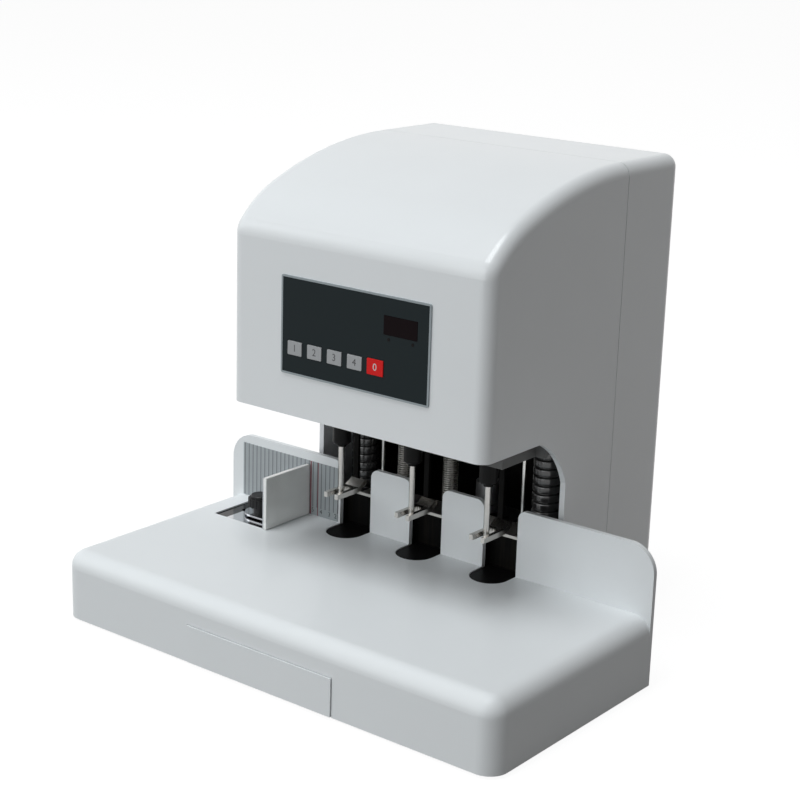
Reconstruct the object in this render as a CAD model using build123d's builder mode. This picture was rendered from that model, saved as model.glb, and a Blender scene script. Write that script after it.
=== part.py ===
from build123d import *
import math
import os

os.makedirs("parts", exist_ok=True)

# Electric three-hole paper drill. Millimetres, +Z up, origin on the floor under the
# middle of the machine. X runs along the fence, the operator stands at -Y.

# Driving sizes
base_width = 462.0
base_depth = 214.0          # table front to fence front
base_gap = 3.0              # the covers stand this high on their feet
table_top = 63.5
table_wall = 3.0
table_corner = 17.0
table_edge = 15.0
fence_top = 123.5
fence_thickness = 4.5
fence_corner = 24.0
tab_corner = 7.5
hole_pitch = 80.0           # file hole spacing, which sets the whole scale
slot_width = 35.3
head_width = 269.0
head_reach = 106.0          # head front, ahead of the fence front
rear_reach = 167.0          # rear cover back, behind the fence front
top_z = 412.5
cover_wall = 5.0
cover_edge = 11.5
drill_diameter = 5.2
stroke = 36.5               # carriage and presser travel
running_gap = 0.3           # between pieces that move past each other
shaft_gap = 0.05            # radial, in bearings and bushes
drawer_proud = 1.2
back_proud = 1.2

# Places that follow
fence_y = (base_depth + drawer_proud - rear_reach - back_proud) / 2
front_y = fence_y - base_depth
back_y = fence_y + rear_reach
head_front_y = fence_y - head_reach
drill_y = fence_y - 21.0
well_y = fence_y - 13.0
throat_y = fence_y + 12.0
column_y = fence_y + 12.5
seam_y = fence_y + 83.0
post_y = fence_y + 38.0
motor_y = fence_y + 50.0
screw_y = fence_y + 95.0
half_base = base_width / 2
half_head = head_width / 2
drill_names = {"left": -hole_pitch, "middle": 0.0, "right": hole_pitch}
floor_plate_z = (4.0, 6.0)


def block(x, y, z, mode=Mode.ADD):
    # a box between its lowest and highest corners
    with Locations(((x[0] + x[1]) / 2, (y[0] + y[1]) / 2, (z[0] + z[1]) / 2)):
        Box(x[1] - x[0], y[1] - y[0], z[1] - z[0], mode=mode)


def upright(x, y, z, radius, mode=Mode.ADD):
    # a vertical cylinder between two heights
    with Locations((x, y, z[0])):
        Cylinder(radius, z[1] - z[0], align=(Align.CENTER, Align.CENTER, Align.MIN), mode=mode)


def lengthwise(x, y, z, radius, mode=Mode.ADD):
    # a cylinder along Y between two places
    with Locations(Location((x, y[0], z), (-90, 0, 0))):
        Cylinder(radius, y[1] - y[0], align=(Align.CENTER, Align.CENTER, Align.MIN), mode=mode)


def save(piece, name):
    piece.part.label = name
    export_step(piece.part, f"parts/{name}.step")


# --- Base -------------------------------------------------------------------

# Gauge window in the table, and the gauge that stands over it
window_x = (-200.0, -138.0)
window_y = (fence_y - 58.0, fence_y - 5.0)
gauge_screw_x = sum(window_x) / 2
gauge_screw_y = fence_y - 30.0
gauge_travel = 18.0

# Chip drawer in the front of the base
drawer_x = (-80.0, 75.0)
drawer_top = 36.0
drawer_gap = 0.7
drawer_wall = 2.0
drawer_length = 170.0
runner_top = 7.8

column_plate_x = half_head - cover_wall - 0.4
plate_margin = 6.0
plate_notch = ((-column_plate_x - 0.4, column_plate_x + 0.4), (base_gap, floor_plate_z[1] + 0.4))
well_radius = slot_width / 2
slot_floor = table_top - 8.8
pad_top = table_top - 0.8

with BuildPart() as table_cover:
    with BuildSketch(Plane.XY.offset(base_gap)):
        with Locations((0, fence_y - base_depth / 2)):
            Rectangle(base_width, base_depth)
    extrude(amount=table_top - base_gap)
    fillet(table_cover.edges().filter_by(Axis.Z).group_by(Axis.Y)[0], table_corner)
    rim = table_cover.faces().sort_by(Axis.Z)[-1].edges()
    fillet(rim.filter_by(lambda e: e.center().Y < fence_y - 0.1), table_edge)
    offset(amount=-table_wall, openings=table_cover.faces().sort_by(Axis.Z)[0])
    with BuildSketch(Plane.XY.offset(table_top)):
        for hole_x in drill_names.values():
            with Locations((hole_x, well_y)):
                Circle(well_radius)
            with Locations((hole_x, (well_y + fence_y) / 2)):
                Rectangle(slot_width, fence_y - well_y)
        with Locations((sum(window_x) / 2, sum(window_y) / 2)):
            RectangleRounded(window_x[1] - window_x[0], window_y[1] - window_y[0], 2)
    extrude(amount=-table_wall, mode=Mode.SUBTRACT)
    for hole_x in drill_names.values():
        block((hole_x - slot_width / 2, hole_x + slot_width / 2), (fence_y - table_wall, fence_y),
              (slot_floor, table_top), Mode.SUBTRACT)
    block((drawer_x[0] - drawer_gap, drawer_x[1] + drawer_gap), (front_y, front_y + table_wall),
          (base_gap, drawer_top + drawer_gap), Mode.SUBTRACT)
    block(plate_notch[0], (fence_y - table_wall, fence_y), plate_notch[1], Mode.SUBTRACT)
save(table_cover, "table_cover")

# Floor plate under the table and the column
with BuildPart() as base_plate:
    block((-half_base + plate_margin, half_base - plate_margin), (front_y + plate_margin, fence_y - plate_margin),
          floor_plate_z)
    fillet(base_plate.edges().filter_by(Axis.Z).group_by(Axis.Y)[0], table_corner - plate_margin)
    block((-column_plate_x, column_plate_x), (fence_y - plate_margin, back_y - plate_margin), floor_plate_z)
save(base_plate, "base_plate")

foot_radius = 9.0
foot_places = [(sx * (half_base - 30), y) for sx in (-1, 1) for y in (front_y + 30, fence_y - 30)]
foot_places += [(sx * (half_head - 30), back_y - 30) for sx in (-1, 1)]
with BuildPart() as rubber_feet:
    for x, y in foot_places:
        upright(x, y, (0, floor_plate_z[0]), foot_radius)
    chamfer(rubber_feet.edges().group_by(Axis.Z)[0], 0.8)
save(rubber_feet, "rubber_feet")

# Fence: one plate from the floor of the covers to its tabs
with BuildPart() as fence:
    with BuildSketch(Plane.XZ.offset(-fence_y)):
        with Locations((0, (base_gap + fence_top) / 2)):
            Rectangle(base_width, fence_top - base_gap)
        fillet(vertices().group_by(Axis.Y)[-1], fence_corner)
        for hole_x in drill_names.values():
            with Locations((hole_x, (slot_floor + fence_top) / 2)):
                Rectangle(slot_width, fence_top - slot_floor, mode=Mode.SUBTRACT)
        tab_ends = vertices().filter_by(lambda v: v.Y > fence_top - 0.1 and abs(v.X) < hole_pitch + slot_width)
        fillet(tab_ends, tab_corner)
    extrude(amount=-fence_thickness)
    block(plate_notch[0], (fence_y, fence_y + fence_thickness), plate_notch[1], Mode.SUBTRACT)
save(fence, "fence")

scale_x = (-217.0, -100.0)
scale_z = (table_top + 0.8, fence_top - 8.0)
scale_thickness = 0.8
with BuildPart() as scale_plate:
    block(scale_x, (fence_y - scale_thickness, fence_y), scale_z)
save(scale_plate, "scale_plate")

# Black drilling pads: each fills its well and reaches back to the throat plate
pad_gap = 0.3
pad_depth = 8.0
flange_width = 3.0
for side, hole_x in drill_names.items():
    with BuildPart() as drill_pad:
        with BuildSketch(Plane.XY.offset(pad_top)):
            with Locations((hole_x, well_y)):
                Circle(well_radius - pad_gap)
            with Locations((hole_x, (well_y + throat_y - pad_gap) / 2)):
                Rectangle(slot_width - 2 * pad_gap, throat_y - pad_gap - well_y)
        extrude(amount=-pad_depth)
        with BuildSketch(Plane.XY.offset(table_top - table_wall)):
            with Locations((hole_x, well_y)):
                Circle(well_radius + flange_width)
            with Locations((hole_x, (well_y + fence_y - table_wall - pad_gap) / 2)):
                Rectangle(slot_width + 2 * flange_width, fence_y - table_wall - pad_gap - well_y)
            with Locations((hole_x, fence_y - table_wall - pad_gap + well_radius / 2)):
                Rectangle(slot_width + 4 * flange_width, well_radius, mode=Mode.SUBTRACT)
        extrude(amount=pad_top - pad_depth - table_top + table_wall)
    save(drill_pad, f"drill_pad_{side}")

# Side gauge: rail under the window, foot clamped by a knob, stop plate
rail_top = table_top - 1.2
rail_flange = 6.0
rail_thickness = 3.0
clamp_radius = 3.0
clamp_slot = (gauge_screw_x - gauge_travel, gauge_screw_x + gauge_travel)
with BuildPart() as gauge_rail:
    under_skin = table_top - table_wall
    block((window_x[0] - rail_flange, window_x[1] + rail_flange),
          (window_y[0] - rail_flange, fence_y - table_wall - pad_gap), (under_skin - rail_thickness, under_skin))
    with BuildSketch(Plane.XY.offset(under_skin)):
        with Locations((sum(window_x) / 2, sum(window_y) / 2)):
            RectangleRounded(window_x[1] - window_x[0] - 2 * pad_gap, window_y[1] - window_y[0] - 2 * pad_gap, 1.7)
    extrude(amount=rail_top - under_skin)
    with BuildSketch(Plane.XY.offset(rail_top)):
        with Locations((gauge_screw_x, gauge_screw_y)):
            SlotCenterToCenter(clamp_slot[1] - clamp_slot[0], 2 * clamp_radius + 1.0)
    extrude(amount=under_skin - rail_thickness - rail_top, mode=Mode.SUBTRACT)
save(gauge_rail, "gauge_rail")

gauge_y = (fence_y - 60.5, fence_y - scale_thickness - 0.4)
gauge_top = fence_top - 11.0
leg_thickness = 1.2
plate_x = window_x[1] + leg_thickness
foot_z = (table_top + 0.5, table_top + 2.1)
foot_radius_end = 14.0
with BuildPart() as gauge_foot:
    block((gauge_screw_x, window_x[1]), (gauge_screw_y - foot_radius_end, gauge_screw_y + foot_radius_end), foot_z)
    upright(gauge_screw_x, gauge_screw_y, foot_z, foot_radius_end)
    block((window_x[1], plate_x), gauge_y, (foot_z[0], gauge_top))
    upright(gauge_screw_x, gauge_screw_y, foot_z, clamp_radius + 0.3, Mode.SUBTRACT)
save(gauge_foot, "gauge_foot")

with BuildPart() as gauge_plate:
    block((plate_x, plate_x + 3.0), gauge_y, (foot_z[0], gauge_top))
    fillet(gauge_plate.edges().filter_by(Axis.X).group_by(Axis.Z)[-1], 1.5)
    fillet(gauge_plate.edges().group_by(Axis.X)[-1], 0.6)
save(gauge_plate, "gauge_plate")

knob_radius = 11.0
knob_levels = (foot_z[1] + 0.1, foot_z[1] + 5.5, foot_z[1] + 13.5, foot_z[1] + 16.5)
with BuildPart() as gauge_knob:
    upright(gauge_screw_x, gauge_screw_y, (knob_levels[0], knob_levels[1]), 6.0)
    upright(gauge_screw_x, gauge_screw_y, (knob_levels[1], knob_levels[2]), knob_radius)
    with Locations((gauge_screw_x, gauge_screw_y, (knob_levels[1] + knob_levels[2]) / 2)):
        with PolarLocations(knob_radius + 0.7, 18):
            Cylinder(1.4, knob_levels[2] - knob_levels[1], mode=Mode.SUBTRACT)
    upright(gauge_screw_x, gauge_screw_y, (knob_levels[2], knob_levels[3]), 8.5)
    upright(gauge_screw_x, gauge_screw_y, (rail_top - 11.0, knob_levels[0]), clamp_radius)
    chamfer(gauge_knob.edges().group_by(Axis.Z)[-1], 0.8)
save(gauge_knob, "gauge_knob")

nut_z = (under_skin - rail_thickness - 4.2, under_skin - rail_thickness - 0.2)
with BuildPart() as gauge_nut:
    block((gauge_screw_x - 6, gauge_screw_x + 6), (gauge_screw_y - 6, gauge_screw_y + 6), nut_z)
    upright(gauge_screw_x, gauge_screw_y, nut_z, clamp_radius + shaft_gap, Mode.SUBTRACT)
save(gauge_nut, "gauge_nut")

# Chip drawer on two runners
tray_x = (drawer_x[0] + 5.0, drawer_x[1] - 5.0)
tray_y = (front_y - drawer_proud + 2.0, front_y + drawer_length)
tray_z = (runner_top + 0.2, drawer_top - 3.0)
with BuildPart() as chip_drawer:
    block(tray_x, tray_y, tray_z)
    block((tray_x[0] + drawer_wall, tray_x[1] - drawer_wall), (tray_y[0] + drawer_wall, tray_y[1] - drawer_wall),
          (tray_z[0] + drawer_wall, tray_z[1]), Mode.SUBTRACT)
    block(drawer_x, (front_y - drawer_proud, front_y + table_wall - drawer_proud - 0.2), (base_gap + 0.5, drawer_top))
save(chip_drawer, "chip_drawer")

with BuildPart() as drawer_runners:
    for inner_x, outer_x in ((tray_x[0] + 8, tray_x[0] - 2.5), (tray_x[1] - 8, tray_x[1] + 2.5)):
        run_y = (front_y + plate_margin + 2, tray_y[1] + 4)
        block(sorted((inner_x, outer_x)), run_y, (floor_plate_z[1], runner_top))
        wall_x = outer_x + math.copysign(2.0, inner_x - outer_x)
        block(sorted((outer_x, wall_x)), run_y, (runner_top, runner_top + 7))
save(drawer_runners, "drawer_runners")

# --- Covers of the head and column ------------------------------------------

skirt_z = 195.8             # lower edge of the head
throat_reach = 28.4         # where the side's curve starts, ahead of the fence
throat_end_z = 153.0        # where it meets the column's front edge
throat_radius = 72.0
nose_radius = 20.0
brow_radius = 113.0
crown_radius = 370.0
brow_slope = math.radians(23.0)     # where the brow runs into the crown
seam_gap = 0.6


def on_arc(centre, radius, slope):
    # the point of an upper arc whose tangent falls forwards at this slope
    return centre[0] - radius * math.sin(slope), centre[1] + radius * math.cos(slope)


def crown_arcs(inset):
    # nose, brow and crown, all tangent, as (start, middle, end), inset from the outside
    crown_centre = (seam_y, top_z - crown_radius)
    brow_centre = on_arc(crown_centre, crown_radius - brow_radius, brow_slope)
    nose_slope = math.asin((brow_centre[0] - head_front_y - nose_radius) / (brow_radius - nose_radius))
    nose_centre = on_arc(brow_centre, brow_radius - nose_radius, nose_slope)
    arcs = []
    for centre, radius, low, high in ((nose_centre, nose_radius, math.pi / 2, nose_slope),
                                      (brow_centre, brow_radius, nose_slope, brow_slope),
                                      (crown_centre, crown_radius, brow_slope, 0.0)):
        arcs.append([on_arc(centre, radius - inset, slope) for slope in (low, (low + high) / 2, high)])
    return arcs


key_pitch = 21.4
key_size = (15.3, 11.8)
red_key_size = (16.7, 13.3)
key_z = 255.1
first_key_x = -60.8
red_key_x = 24.8
panel_x = (-76.4, 79.2)
panel_z = (232.2, 315.9)
panel_thickness = 1.2
panel_hole_x = (-69.5, 72.8)
panel_hole_z = (243.2, 304.7)
board_y = (head_front_y + 13.0, head_front_y + 14.6)
board_x = (panel_x[0] + 1, panel_x[1] - 1)
board_z = (panel_z[0] + 1, panel_z[1] - 1)
board_posts = [(x, z) for x in (board_x[0] + 3.2, board_x[1] - 3.2) for z in (board_z[0] + 3.2, board_z[1] - 3.2)]

with BuildPart() as front_cover:
    arcs = crown_arcs(0)
    face_top = arcs[0][0]
    with BuildSketch(Plane.YZ):
        with BuildLine():
            Line((head_front_y, skirt_z), face_top)
            for arc in arcs:
                ThreePointArc(*arc)
            Line((seam_y, top_z), (seam_y, base_gap))
            Line((seam_y, base_gap), (column_y, base_gap))
            Line((column_y, base_gap), (column_y, throat_end_z))
            RadiusArc((column_y, throat_end_z), (fence_y - throat_reach, skirt_z), -throat_radius)
            Line((fence_y - throat_reach, skirt_z), (head_front_y, skirt_z))
        make_face()
    extrude(amount=half_head, both=True)
    on_side = front_cover.edges().filter_by(lambda e: abs(abs(e.center().X) - half_head) < 0.01)
    fillet(on_side.filter_by(lambda e: e.center().Z > face_top[1] or e.center().Y < head_front_y + 0.01), cover_edge)
    arcs = crown_arcs(cover_wall)
    with BuildSketch(Plane.YZ):
        with BuildLine():
            Line((head_front_y + cover_wall, 0), arcs[0][0])
            for arc in arcs:
                ThreePointArc(*arc)
            Line((seam_y, top_z - cover_wall), (seam_y, 0))
            Line((seam_y, 0), (head_front_y + cover_wall, 0))
        make_face()
    extrude(amount=half_head - cover_wall, both=True, mode=Mode.SUBTRACT)
    block(panel_hole_x, (head_front_y, head_front_y + cover_wall), panel_hole_z, Mode.SUBTRACT)
    for x, z in board_posts:
        lengthwise(x, (head_front_y + cover_wall, board_y[0]), z, 2.8)
save(front_cover, "front_cover")

inlet_x, inlet_z = 84.0, 44.0
inlet_size = (30.0, 56.0)
vent_rows, vent_pitch = 9, 9.0
screw_x = 117.6
cover_screw_z = (24.0, 200.0, 340.0)
with BuildPart() as rear_cover:
    block((-half_head, half_head), (seam_y + seam_gap, back_y), (base_gap, top_z))
    back_edges = rear_cover.edges().filter_by(lambda e: e.center().Y > back_y - 0.1 and e.center().Z > base_gap + 1)
    fillet(back_edges + rear_cover.edges().filter_by(Axis.Y).group_by(Axis.Z)[-1], cover_edge)
    block((-half_head + cover_wall, half_head - cover_wall), (seam_y, back_y - cover_wall),
          (0, top_z - cover_wall), Mode.SUBTRACT)
    with BuildSketch(Plane.XZ.offset(-back_y)):
        for group_x in (-45, 45):
            with Locations((group_x, 300)):
                with GridLocations(1, vent_pitch, 1, vent_rows):
                    SlotOverall(64, 3.2)
        with Locations((inlet_x, inlet_z)):
            Rectangle(*inlet_size)
        with Locations(*[(sx * screw_x, z) for sx in (-1, 1) for z in cover_screw_z]):
            Circle(2.2)
    extrude(amount=cover_wall, mode=Mode.SUBTRACT)
save(rear_cover, "rear_cover")

# --- Frame ------------------------------------------------------------------

frame_x = (115.2, 120.0)
frame_y = (fence_y + 16.0, fence_y + 150.0)
head_plate_z = (179.0, 189.0)
head_plate_y = (fence_y - 60.0, fence_y - 13.0)
top_plate_z = (350.0, 358.0)
arm_top = 262.0
stile_y = fence_y + 56.0    # below the head the plates stand behind the guide posts
screw_hole = 2.0
with BuildPart() as frame_sides:
    with BuildSketch(Plane.YZ.offset(frame_x[0])):
        with BuildLine():
            Polyline((stile_y, floor_plate_z[1]), (frame_y[1], floor_plate_z[1]), (frame_y[1], top_plate_z[0]),
                     (frame_y[0], top_plate_z[0]), (frame_y[0] - 20, arm_top), (head_plate_y[0], arm_top - 30),
                     (head_plate_y[0], head_plate_z[1]), (stile_y, head_plate_z[1]), close=True)
        make_face()
    extrude(amount=frame_x[1] - frame_x[0])
    for z in cover_screw_z:
        lengthwise(screw_x, (frame_y[1] - 12, frame_y[1]), z, screw_hole + shaft_gap, Mode.SUBTRACT)
    mirror(about=Plane.YZ)
save(frame_sides, "frame_sides")

chuck_radius = 8.1
with BuildPart() as head_plate:
    block((-frame_x[1], frame_x[1]), head_plate_y, head_plate_z)
    cross_x = half_head - cover_wall - 0.5
    block((-cross_x, cross_x), (head_plate_y[1], head_plate_y[1] + 5.0), head_plate_z)
    for hole_x in drill_names.values():
        upright(hole_x, drill_y, head_plate_z, chuck_radius + 0.5, Mode.SUBTRACT)
save(head_plate, "head_plate")

post_x = 100.0
post_radius = 7.0
screw_radius = 8.0
with BuildPart() as top_plate:
    block((-frame_x[1], frame_x[1]), frame_y, top_plate_z)
    upright(0, screw_y, top_plate_z, screw_radius + shaft_gap, Mode.SUBTRACT)
    for sx in (-1, 1):
        upright(sx * post_x, post_y, top_plate_z, post_radius - 2 + shaft_gap, Mode.SUBTRACT)
save(top_plate, "top_plate")

# Black plate behind the slots, with a steel-edged ledge for springs and rods
ledge_z = (91.5, 94.0)
ledge_x = 84.0
rod_x, rod_y, rod_radius = 77.5, fence_y + 36.0, 1.9
with BuildPart() as throat_plate:
    block((-112, 112), (throat_y, throat_y + 2.5), (floor_plate_z[1], ledge_z[1]))
    block((-ledge_x, ledge_x), (throat_y, rod_y + 6), ledge_z)
    for sx in (-1, 1):
        upright(sx * rod_x, rod_y, ledge_z, rod_radius + running_gap, Mode.SUBTRACT)
save(throat_plate, "throat_plate")

bellows_z = (63.0, 247.0)
bellows_radius = 12.5
with BuildPart() as guide_posts:
    for sx in (-1, 1):
        upright(sx * post_x, post_y, (floor_plate_z[1], bellows_z[0]), bellows_radius - 1)
        upright(sx * post_x, post_y, (bellows_z[0], top_plate_z[0]), post_radius)
        upright(sx * post_x, post_y, (top_plate_z[0], top_plate_z[1]), post_radius - 2)
save(guide_posts, "guide_posts")

# Bellows over the guide posts: four circles to a rib, with a plain bore
rib_count = 24
rib_pitch = (bellows_z[1] - bellows_z[0]) / rib_count
rib_steps = ((0.0, bellows_radius - 2.2), (0.1, bellows_radius), (0.82, bellows_radius), (0.92, bellows_radius - 2.2))
with BuildPart() as bellows:
    for rib in range(rib_count):
        for share, radius in rib_steps:
            with BuildSketch(Plane((post_x, post_y, bellows_z[0] + (rib + share) * rib_pitch))):
                Circle(radius)
    with BuildSketch(Plane((post_x, post_y, bellows_z[1]))):
        Circle(rib_steps[0][1])
    loft(ruled=True)
    upright(post_x, post_y, bellows_z, post_radius + 1.5, Mode.SUBTRACT)
    mirror(about=Plane.YZ)
save(bellows, "bellows")

# --- Carriage with its drilling heads ---------------------------------------

carriage_z = (247.0, 263.0)
carriage_x = 112.0
carriage_y = (drill_y - 24.0, screw_y + 18.0)
housing_top = 300.0
bearing_radius = 14.0
bearing_height = 9.0
spindle_radius = 6.0
bush_radius = 10.0
bush_z = (carriage_z[0], housing_top - 6)
pulley_z = (229.0, 243.0)
pulley_radius = 20.0
motor_pulley_radius = 12.0
motor_radius = 29.0
motor_z = (carriage_z[1], 345.0)
motor_shaft = 4.0
nut_radius = 14.0
with BuildPart() as carriage:
    block((-carriage_x, carriage_x), carriage_y, carriage_z)
    fillet(carriage.edges().filter_by(Axis.Z), 10)
    for hole_x in drill_names.values():
        upright(hole_x, drill_y, (carriage_z[1], housing_top), bearing_radius + 5)
        upright(hole_x, drill_y, (carriage_z[0], housing_top), bearing_radius - 2, Mode.SUBTRACT)
        upright(hole_x, drill_y, (carriage_z[0], carriage_z[0] + bearing_height), bearing_radius, Mode.SUBTRACT)
        upright(hole_x, drill_y, (housing_top - bearing_height, housing_top), bearing_radius, Mode.SUBTRACT)
    for sx in (-1, 1):
        upright(sx * post_x, post_y, (carriage_z[1], bush_z[1]), bush_radius + 2)
        upright(sx * post_x, post_y, (carriage_z[0], bush_z[1]), bush_radius, Mode.SUBTRACT)
    upright(0, motor_y, carriage_z, motor_shaft + 3, Mode.SUBTRACT)
    upright(0, screw_y, carriage_z, nut_radius, Mode.SUBTRACT)
    for sx in (-1, 1):
        upright(sx * rod_x, rod_y, carriage_z, rod_radius + running_gap, Mode.SUBTRACT)
save(carriage, "carriage")

with BuildPart() as guide_bushes:
    for sx in (-1, 1):
        upright(sx * post_x, post_y, bush_z, bush_radius - shaft_gap)
        upright(sx * post_x, post_y, bush_z, post_radius + shaft_gap, Mode.SUBTRACT)
save(guide_bushes, "guide_bushes")

with BuildPart() as spindle_bearings:
    for hole_x in drill_names.values():
        for low in (carriage_z[0], housing_top - bearing_height):
            upright(hole_x, drill_y, (low, low + bearing_height), bearing_radius - shaft_gap)
            upright(hole_x, drill_y, (low, low + bearing_height), spindle_radius + shaft_gap, Mode.SUBTRACT)
save(spindle_bearings, "spindle_bearings")

# Spindles with their pulleys, chucks and hollow drills
chuck_z = (149.0, 224.0)
nose_z = 146.6
socket_z = 190.0
drill_tip = pad_top + 0.2 + stroke
drill_bore = 1.7
for side, hole_x in drill_names.items():
    with BuildPart() as spindle:
        upright(hole_x, drill_y, (socket_z, housing_top + 8), spindle_radius)
        upright(hole_x, drill_y, pulley_z, pulley_radius)
        for edge_z in ((pulley_z[0], pulley_z[0] + 1.2), (pulley_z[1] - 1.2, pulley_z[1])):
            upright(hole_x, drill_y, edge_z, pulley_radius + 1.5)
        upright(hole_x, drill_y, (socket_z, housing_top + 8), drill_bore + 0.6, Mode.SUBTRACT)
    save(spindle, f"spindle_{side}")
    with BuildPart() as chuck:
        upright(hole_x, drill_y, chuck_z, chuck_radius)
        chamfer(chuck.edges().group_by(Axis.Z)[0], 1.6)
        upright(hole_x, drill_y, (nose_z, chuck_z[0]), drill_diameter / 2 + 1.6)
        upright(hole_x, drill_y, (socket_z, chuck_z[1]), spindle_radius + shaft_gap, Mode.SUBTRACT)
        upright(hole_x, drill_y, (nose_z, socket_z), drill_diameter / 2 + shaft_gap, Mode.SUBTRACT)
    save(chuck, f"chuck_{side}")
    with BuildPart() as drill:
        upright(hole_x, drill_y, (drill_tip, socket_z), drill_diameter / 2)
        chamfer(drill.edges().group_by(Axis.Z)[0], 0.6)
        upright(hole_x, drill_y, (drill_tip, socket_z), drill_bore, Mode.SUBTRACT)
    save(drill, f"drill_{side}")

with BuildPart() as drill_motor:
    upright(0, motor_y, motor_z, motor_radius)
    fillet(drill_motor.edges().group_by(Axis.Z)[-1], 4)
    block((-motor_radius - 4, motor_radius + 4), (motor_y - 14, motor_y + 14), (motor_z[0], motor_z[0] + 4))
    upright(0, motor_y, (motor_z[0], motor_z[0] + 30), motor_shaft + 0.3, Mode.SUBTRACT)
save(drill_motor, "drill_motor")

with BuildPart() as motor_pulley:
    upright(0, motor_y, (pulley_z[0], motor_z[0] + 28), motor_shaft)
    upright(0, motor_y, pulley_z, motor_pulley_radius)
    for edge_z in ((pulley_z[0], pulley_z[0] + 1.2), (pulley_z[1] - 1.2, pulley_z[1])):
        upright(0, motor_y, edge_z, motor_pulley_radius + 1.5)
save(motor_pulley, "motor_pulley")

# Flat belt round the outer spindles and the motor, past the front of the middle one
belt_thickness = 1.4
belt_gap = 0.1
belt_z = (pulley_z[0] + 1.6, pulley_z[1] - 1.6)


def belt_outline(grow):
    with BuildSketch(Plane.XY.offset(belt_z[0])) as outline:
        with BuildLine():
            CenterArc((-hole_pitch, drill_y), pulley_radius + grow, 0, 360)
            CenterArc((hole_pitch, drill_y), pulley_radius + grow, 0, 360)
            CenterArc((0, motor_y), motor_pulley_radius + grow, 0, 360)
        make_hull()
    return outline.sketch


belt_outer = belt_outline(belt_gap + belt_thickness)
belt_inner = belt_outline(belt_gap)
with BuildPart() as drive_belt:
    extrude(belt_outer, amount=belt_z[1] - belt_z[0], dir=(0, 0, 1))
    extrude(belt_inner, amount=belt_z[1] - belt_z[0], dir=(0, 0, 1), mode=Mode.SUBTRACT)
save(drive_belt, "drive_belt")

# --- Feed -------------------------------------------------------------------

feed_motor_size = 57.0
feed_motor_z = (floor_plate_z[1], 72.0)
feed_shaft = 4.0
coupling_z = (76.0, 104.0)
screw_z = (90.0, 362.0)
with BuildPart() as feed_motor:
    with BuildSketch(Plane.XY.offset(feed_motor_z[0])):
        with Locations((0, screw_y)):
            RectangleRounded(feed_motor_size, feed_motor_size, 5)
    extrude(amount=feed_motor_z[1] - feed_motor_z[0])
    upright(0, screw_y, (feed_motor_z[1], feed_motor_z[1] + 1.6), 19)
    upright(0, screw_y, (feed_motor_z[1] - 25, feed_motor_z[1] + 1.6), feed_shaft + 0.3, Mode.SUBTRACT)
save(feed_motor, "feed_motor")

with BuildPart() as shaft_coupling:
    upright(0, screw_y, coupling_z, 12)
    upright(0, screw_y, (feed_motor_z[1] - 24, coupling_z[0]), feed_shaft)
    upright(0, screw_y, (screw_z[0], coupling_z[1]), screw_radius + shaft_gap, Mode.SUBTRACT)
    with Locations((0, screw_y, sum(coupling_z) / 2 - 6)):
        Box(30, 30, 1.2, mode=Mode.SUBTRACT)
        Cylinder(9, 1.2)
save(shaft_coupling, "shaft_coupling")

with BuildPart() as feed_screw:
    upright(0, screw_y, screw_z, screw_radius)
    chamfer(feed_screw.edges(), 0.8)
save(feed_screw, "feed_screw")

with BuildPart() as feed_nut:
    upright(0, screw_y, (carriage_z[0] - 6, carriage_z[0]), nut_radius + 8)
    upright(0, screw_y, (carriage_z[0] - 22, carriage_z[1]), nut_radius - shaft_gap)
    upright(0, screw_y, (carriage_z[0] - 22, carriage_z[1]), screw_radius + shaft_gap, Mode.SUBTRACT)
save(feed_nut, "feed_nut")

# --- Paper presser ----------------------------------------------------------

fork_bottom = table_top + 0.6 + stroke
fork_thickness = 4.6
fork_width = 15.8
fork_slot = 8.4
fork_front_y = fence_y - 34.5
ramp_y = (fence_y - 5.3, fence_y + 4.7)
ramp_rise = 4.8
bar_y = (ramp_y[1] + 0.8, ramp_y[1] + 3.8)
bar_z = (196.0, 220.0)
fork_slot_end = drill_y + 7.0
for side, hole_x in drill_names.items():
    with BuildPart() as fork:
        with BuildSketch(Plane.YZ.offset(hole_x - fork_width / 2)):
            with BuildLine():
                top = fork_bottom + fork_thickness
                Polyline((fork_front_y, fork_bottom), (ramp_y[0], fork_bottom),
                         (ramp_y[1], fork_bottom + ramp_rise), (bar_y[0], fork_bottom + ramp_rise + 0.4),
                         (bar_y[0], top + ramp_rise), (bar_y[0] - 2.0, top + ramp_rise), (ramp_y[0], top),
                         (fork_front_y, top), close=True)
            make_face()
        extrude(amount=fork_width)
        with BuildSketch(Plane.XY.offset(fork_bottom)):
            with Locations((hole_x, (fork_front_y + fork_slot_end) / 2 - 2)):
                Rectangle(fork_slot, fork_slot_end - fork_front_y + 4)
            with Locations((hole_x, fork_slot_end)):
                Circle(fork_slot / 2)
        extrude(amount=fork_thickness, mode=Mode.SUBTRACT)
    save(fork, f"presser_fork_{side}")

arm_x = (-7.4, -2.4)
arm_bottom = fork_bottom + ramp_rise + 0.6
lug_y = rod_y + 5.0
with BuildPart() as presser_bar:
    block((-104, 104), bar_y, bar_z)
    for hole_x in drill_names.values():
        block((hole_x + arm_x[0], hole_x + arm_x[1]), bar_y, (arm_bottom, bar_z[0]))
    block((-ledge_x, ledge_x), (bar_y[1], lug_y), (bar_z[0], bar_z[0] + 3))
save(presser_bar, "presser_bar")

# Each rod slides through the ledge below and hangs by its head on the carriage above
with BuildPart() as presser_rods:
    for sx in (-1, 1):
        upright(sx * rod_x, rod_y, (ledge_z[0] - stroke, bar_z[0]), rod_radius)
        upright(sx * rod_x, rod_y, (bar_z[0] + 3, carriage_z[1] + 2), rod_radius)
        upright(sx * rod_x, rod_y, (carriage_z[1] + running_gap, carriage_z[1] + 4), rod_radius + 2)
save(presser_rods, "presser_rods")

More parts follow.
